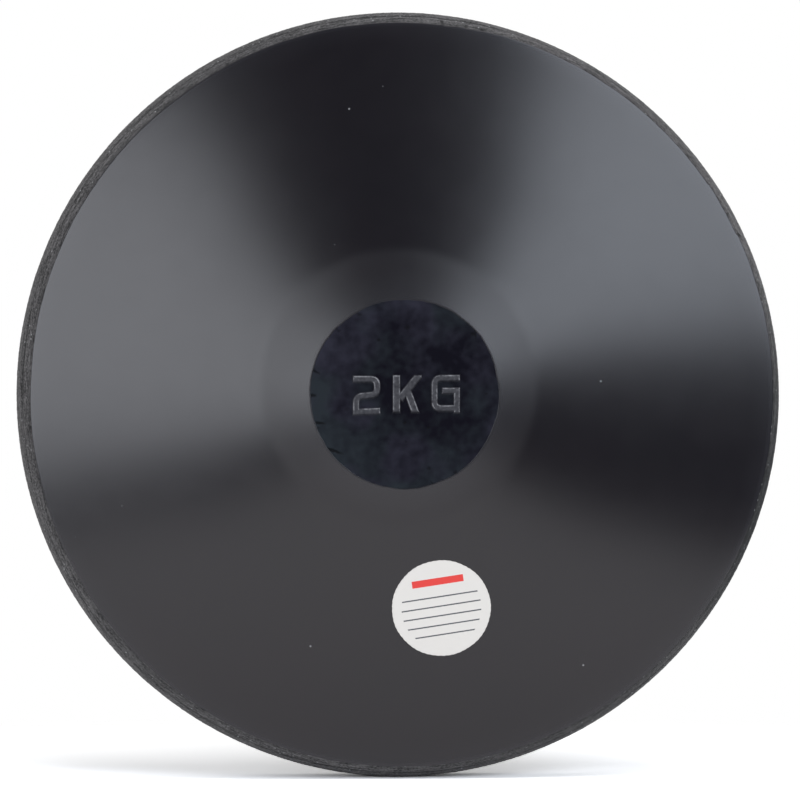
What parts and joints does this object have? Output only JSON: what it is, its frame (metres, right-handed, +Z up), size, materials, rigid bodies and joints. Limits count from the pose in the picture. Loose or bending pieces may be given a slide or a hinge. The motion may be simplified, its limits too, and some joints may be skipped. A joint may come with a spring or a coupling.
{
  "type": "discus",
  "caption": "Throwing discus of moulded rubber over a sealed iron weight, with sloping faces, a flat round hub on each side and a rounded rough rim.",
  "frame": {"origin": "centre of the disc, on its axis and midway between the two hub faces", "axes": "+Y along the disc's axis towards the plain back face, -Y out of the front face with the weight mark, +Z up as the disc stands on its rim, which is also up for the mark, and +X to the right of the mark"},
  "size_m": [0.22, 0.0456, 0.22],
  "materials": {
    "core_iron": "rough cast",
    "face_rubber": "satin, moulded",
    "rim_rubber": "rough, buffed",
    "hub_rubber": "matte, mottled",
    "label_paper": "coated paper"
  },
  "bodies": {
    "root": {"weight_core": "core_iron", "front_shell": "face_rubber", "back_shell": "face_rubber", "rim_band": "rim_rubber", "front_hub_plate": "hub_rubber", "back_hub_plate": "hub_rubber", "face_label": "label_paper"}
  },
  "joints": []
}
